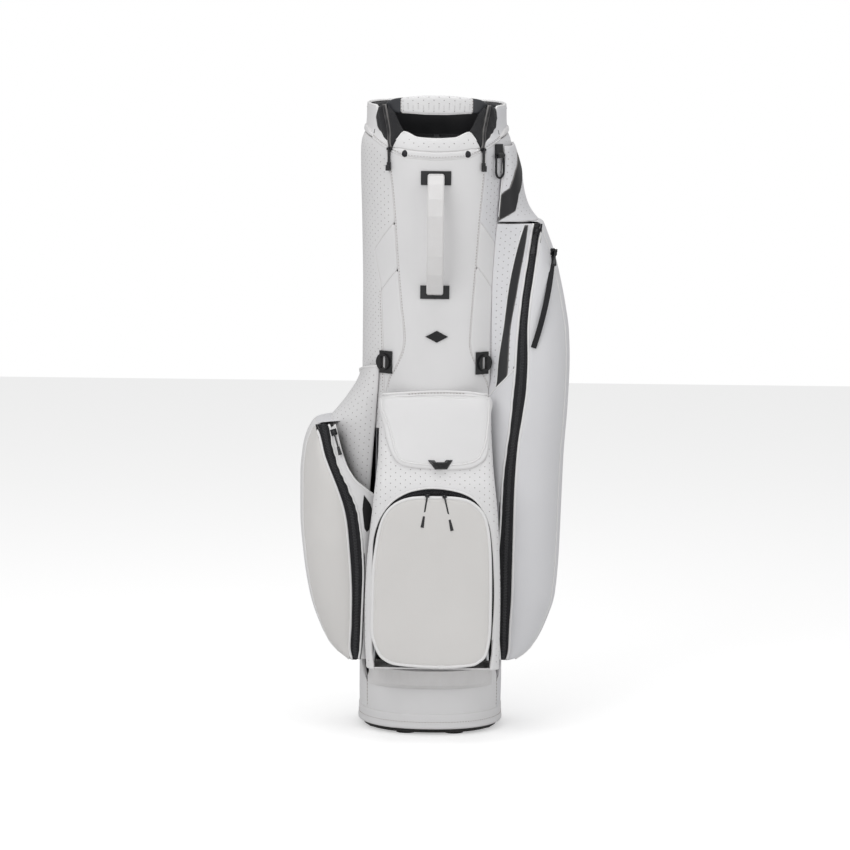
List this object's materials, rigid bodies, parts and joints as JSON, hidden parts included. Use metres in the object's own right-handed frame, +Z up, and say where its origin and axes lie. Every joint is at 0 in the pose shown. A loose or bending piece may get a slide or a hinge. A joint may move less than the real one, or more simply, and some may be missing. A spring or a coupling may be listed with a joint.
{
  "type": "golf bag",
  "caption": "Upright golf bag with club wells, a ball pocket, a magnetic valuables pocket, side pockets, a carry bridge and a shoulder strap.",
  "frame": {"origin": "centre of the underside of the foot", "axes": "+Z up along the bag, -Y towards the ball pocket, +X towards the long side pocket"},
  "size_m": [0.3831, 0.3604, 0.9178],
  "materials": {
    "white_leather": "perforated and smooth coated leather, satin",
    "warm_leather": "smooth coated leather, satin",
    "black_trim": "moulded, fine texture",
    "black_leather": "smooth, satin",
    "zip_fabric": "woven zip tape",
    "webbing": "woven webbing",
    "lining": "plain lining fabric",
    "rubber_foot": "matt rubber",
    "rod_metal": "drawn tube",
    "black_metal": "black coated",
    "screw_metal": "bright"
  },
  "bodies": {
    "bag": {"foot_tread": "rubber_foot", "foot_tray": "black_trim", "hem_band": "white_leather", "front_panel": "white_leather", "left_panel": "white_leather", "right_panel": "white_leather", "back_panel": "white_leather", "collar_front": "white_leather", "collar_cover": "white_leather", "top_ring": "black_trim", "club_divider": "black_trim", "divider_sheets": "lining", "stay_rods": "rod_metal", "carry_bridge": "black_trim", "bridge_wrap": "white_leather", "collar_gussets": "webbing", "hood_studs": "black_trim", "grip_ports": "black_trim", "grab_handle": "warm_leather", "badge_plate": "black_trim", "cart_guides": "black_trim", "towel_tab": "webbing", "glove_patch": "black_leather", "valuables_pouch": "white_leather", "ball_gusset": "white_leather", "ball_zip_tape": "zip_fabric", "base_grip": "white_leather", "left_shroud": "white_leather", "slip_lining": "lining", "left_gusset": "white_leather", "pen_slot": "black_leather", "right_gusset": "white_leather", "right_shoulder": "white_leather", "side_stripe": "black_leather", "strap_anchors": "black_trim", "anchor_screws": "screw_metal", "shoulder_strap": "webbing", "strap_pad": "warm_leather"},
    "flap": {"valuables_flap": "warm_leather", "flap_tab": "black_leather"},
    "ball_door": {"ball_door": "warm_leather"},
    "ball_slider_left": {"ball_slider_left": "black_metal"},
    "ball_slider_right": {"ball_slider_right": "black_metal"},
    "ball_pull_left": {"ball_pull_left": "black_trim"},
    "ball_pull_right": {"ball_pull_right": "black_trim"},
    "left_door": {"left_door": "white_leather", "left_zip_tape": "zip_fabric"},
    "left_slider": {"left_slider": "black_metal"},
    "left_pull": {"left_pull": "black_trim"},
    "right_door": {"right_door": "white_leather", "right_zip_tape": "zip_fabric", "upper_zip_tape": "zip_fabric"},
    "right_slider": {"right_slider": "black_metal"},
    "right_pull": {"right_pull": "black_trim"},
    "upper_slider": {"upper_slider": "black_metal"},
    "upper_pull": {"upper_pull": "black_trim"},
    "towel_ring": {"towel_ring": "black_metal"},
    "hood_hook_left": {"hood_hook_left": "black_trim"},
    "hood_hook_right": {"hood_hook_right": "black_trim"},
    "strap_adjuster": {"strap_adjuster": "black_trim"}
  },
  "joints": [
    {"name": "flap_hinge", "type": "hinge", "parent": "bag", "child": "flap", "pos_m": [0, -0.11909, 0.492], "axis": [-1, 0, 0], "range_deg": [0, 130]},
    {"name": "ball_door_hinge", "type": "hinge", "parent": "bag", "child": "ball_door", "pos_m": [0, -0.176, 0.112], "axis": [1, 0, 0], "range_deg": [0, 85]},
    {"name": "ball_slider_left_run", "type": "hinge", "parent": "ball_door", "child": "ball_slider_left", "pos_m": [0, -0.1762, 0.2286], "axis": [0, -1, 0], "range_deg": [0, 13]},
    {"name": "ball_slider_right_run", "type": "hinge", "parent": "ball_door", "child": "ball_slider_right", "pos_m": [0, -0.1762, 0.2286], "axis": [0, 1, 0], "range_deg": [0, 11]},
    {"name": "ball_pull_left_swing", "type": "hinge", "parent": "ball_slider_left", "child": "ball_pull_left", "pos_m": [-0.0072, -0.1834, 0.3574], "axis": [-0.9893, 0, 0.1461], "range_deg": [0, 140]},
    {"name": "ball_pull_right_swing", "type": "hinge", "parent": "ball_slider_right", "child": "ball_pull_right", "pos_m": [0.01706, -0.1834, 0.35647], "axis": [-0.9744, 0, -0.225], "range_deg": [0, 140]},
    {"name": "left_door_hinge", "type": "hinge", "parent": "bag", "child": "left_door", "pos_m": [-0.09545, 0.05649, 0.3], "axis": [0, 0, -1], "range_deg": [0, 40]},
    {"name": "right_door_hinge", "type": "hinge", "parent": "bag", "child": "right_door", "pos_m": [0.09545, 0.05649, 0.3], "axis": [0, 0, 1], "range_deg": [0, 40]},
    {"name": "left_slider_run", "type": "hinge", "parent": "left_door", "child": "left_slider", "pos_m": [-0.72266, 0.26153, 0.19], "axis": [0.515, 0.8572, 0], "range_deg": [0, 16]},
    {"name": "right_slider_run", "type": "hinge", "parent": "right_door", "child": "right_slider", "pos_m": [1.55107, 1.34027, 0.23], "axis": [0.7071, -0.7071, 0], "range_deg": [0, 12]},
    {"name": "left_pull_swing", "type": "hinge", "parent": "left_slider", "child": "left_pull", "pos_m": [-0.14221, -0.09444, 0.43526], "axis": [-0.9565, -0.0261, -0.2905], "range_deg": [0, 140]},
    {"name": "right_pull_swing", "type": "hinge", "parent": "right_slider", "child": "right_pull", "pos_m": [0.14432, -0.07368, 0.72523], "axis": [-0.9853, 0.0147, 0.1704], "range_deg": [0, 140]},
    {"name": "upper_slider_run", "type": "hinge", "parent": "right_door", "child": "upper_slider", "pos_m": [0.09166, 0.08624, 0.57935], "axis": [0.9119, 0.2871, -0.2932], "range_deg": [0, 39]},
    {"name": "upper_pull_swing", "type": "hinge", "parent": "upper_slider", "child": "upper_pull", "pos_m": [0.17175, -0.04936, 0.69565], "axis": [-0.9119, -0.2871, 0.2932], "range_deg": [0, 130]},
    {"name": "towel_ring_swing", "type": "hinge", "parent": "bag", "child": "towel_ring", "pos_m": [0.09076, -0.08242, 0.833], "axis": [-0.5816, -0.8135, 0], "range_deg": [0, 120]},
    {"name": "hood_hook_left_swing", "type": "hinge", "parent": "bag", "child": "hood_hook_left", "pos_m": [-0.06715, -0.10393, 0.842], "axis": [-0.8169, 0.5768, 0], "range_deg": [0, 90]},
    {"name": "hood_hook_right_swing", "type": "hinge", "parent": "bag", "child": "hood_hook_right", "pos_m": [0.06715, -0.10393, 0.842], "axis": [-0.8169, -0.5768, 0], "range_deg": [0, 90]},
    {"name": "strap_adjuster_slide", "type": "slide", "parent": "bag", "child": "strap_adjuster", "axis": [0, 0.1724, 0.985], "range_m": [-0.03, 0.03]}
  ]
}
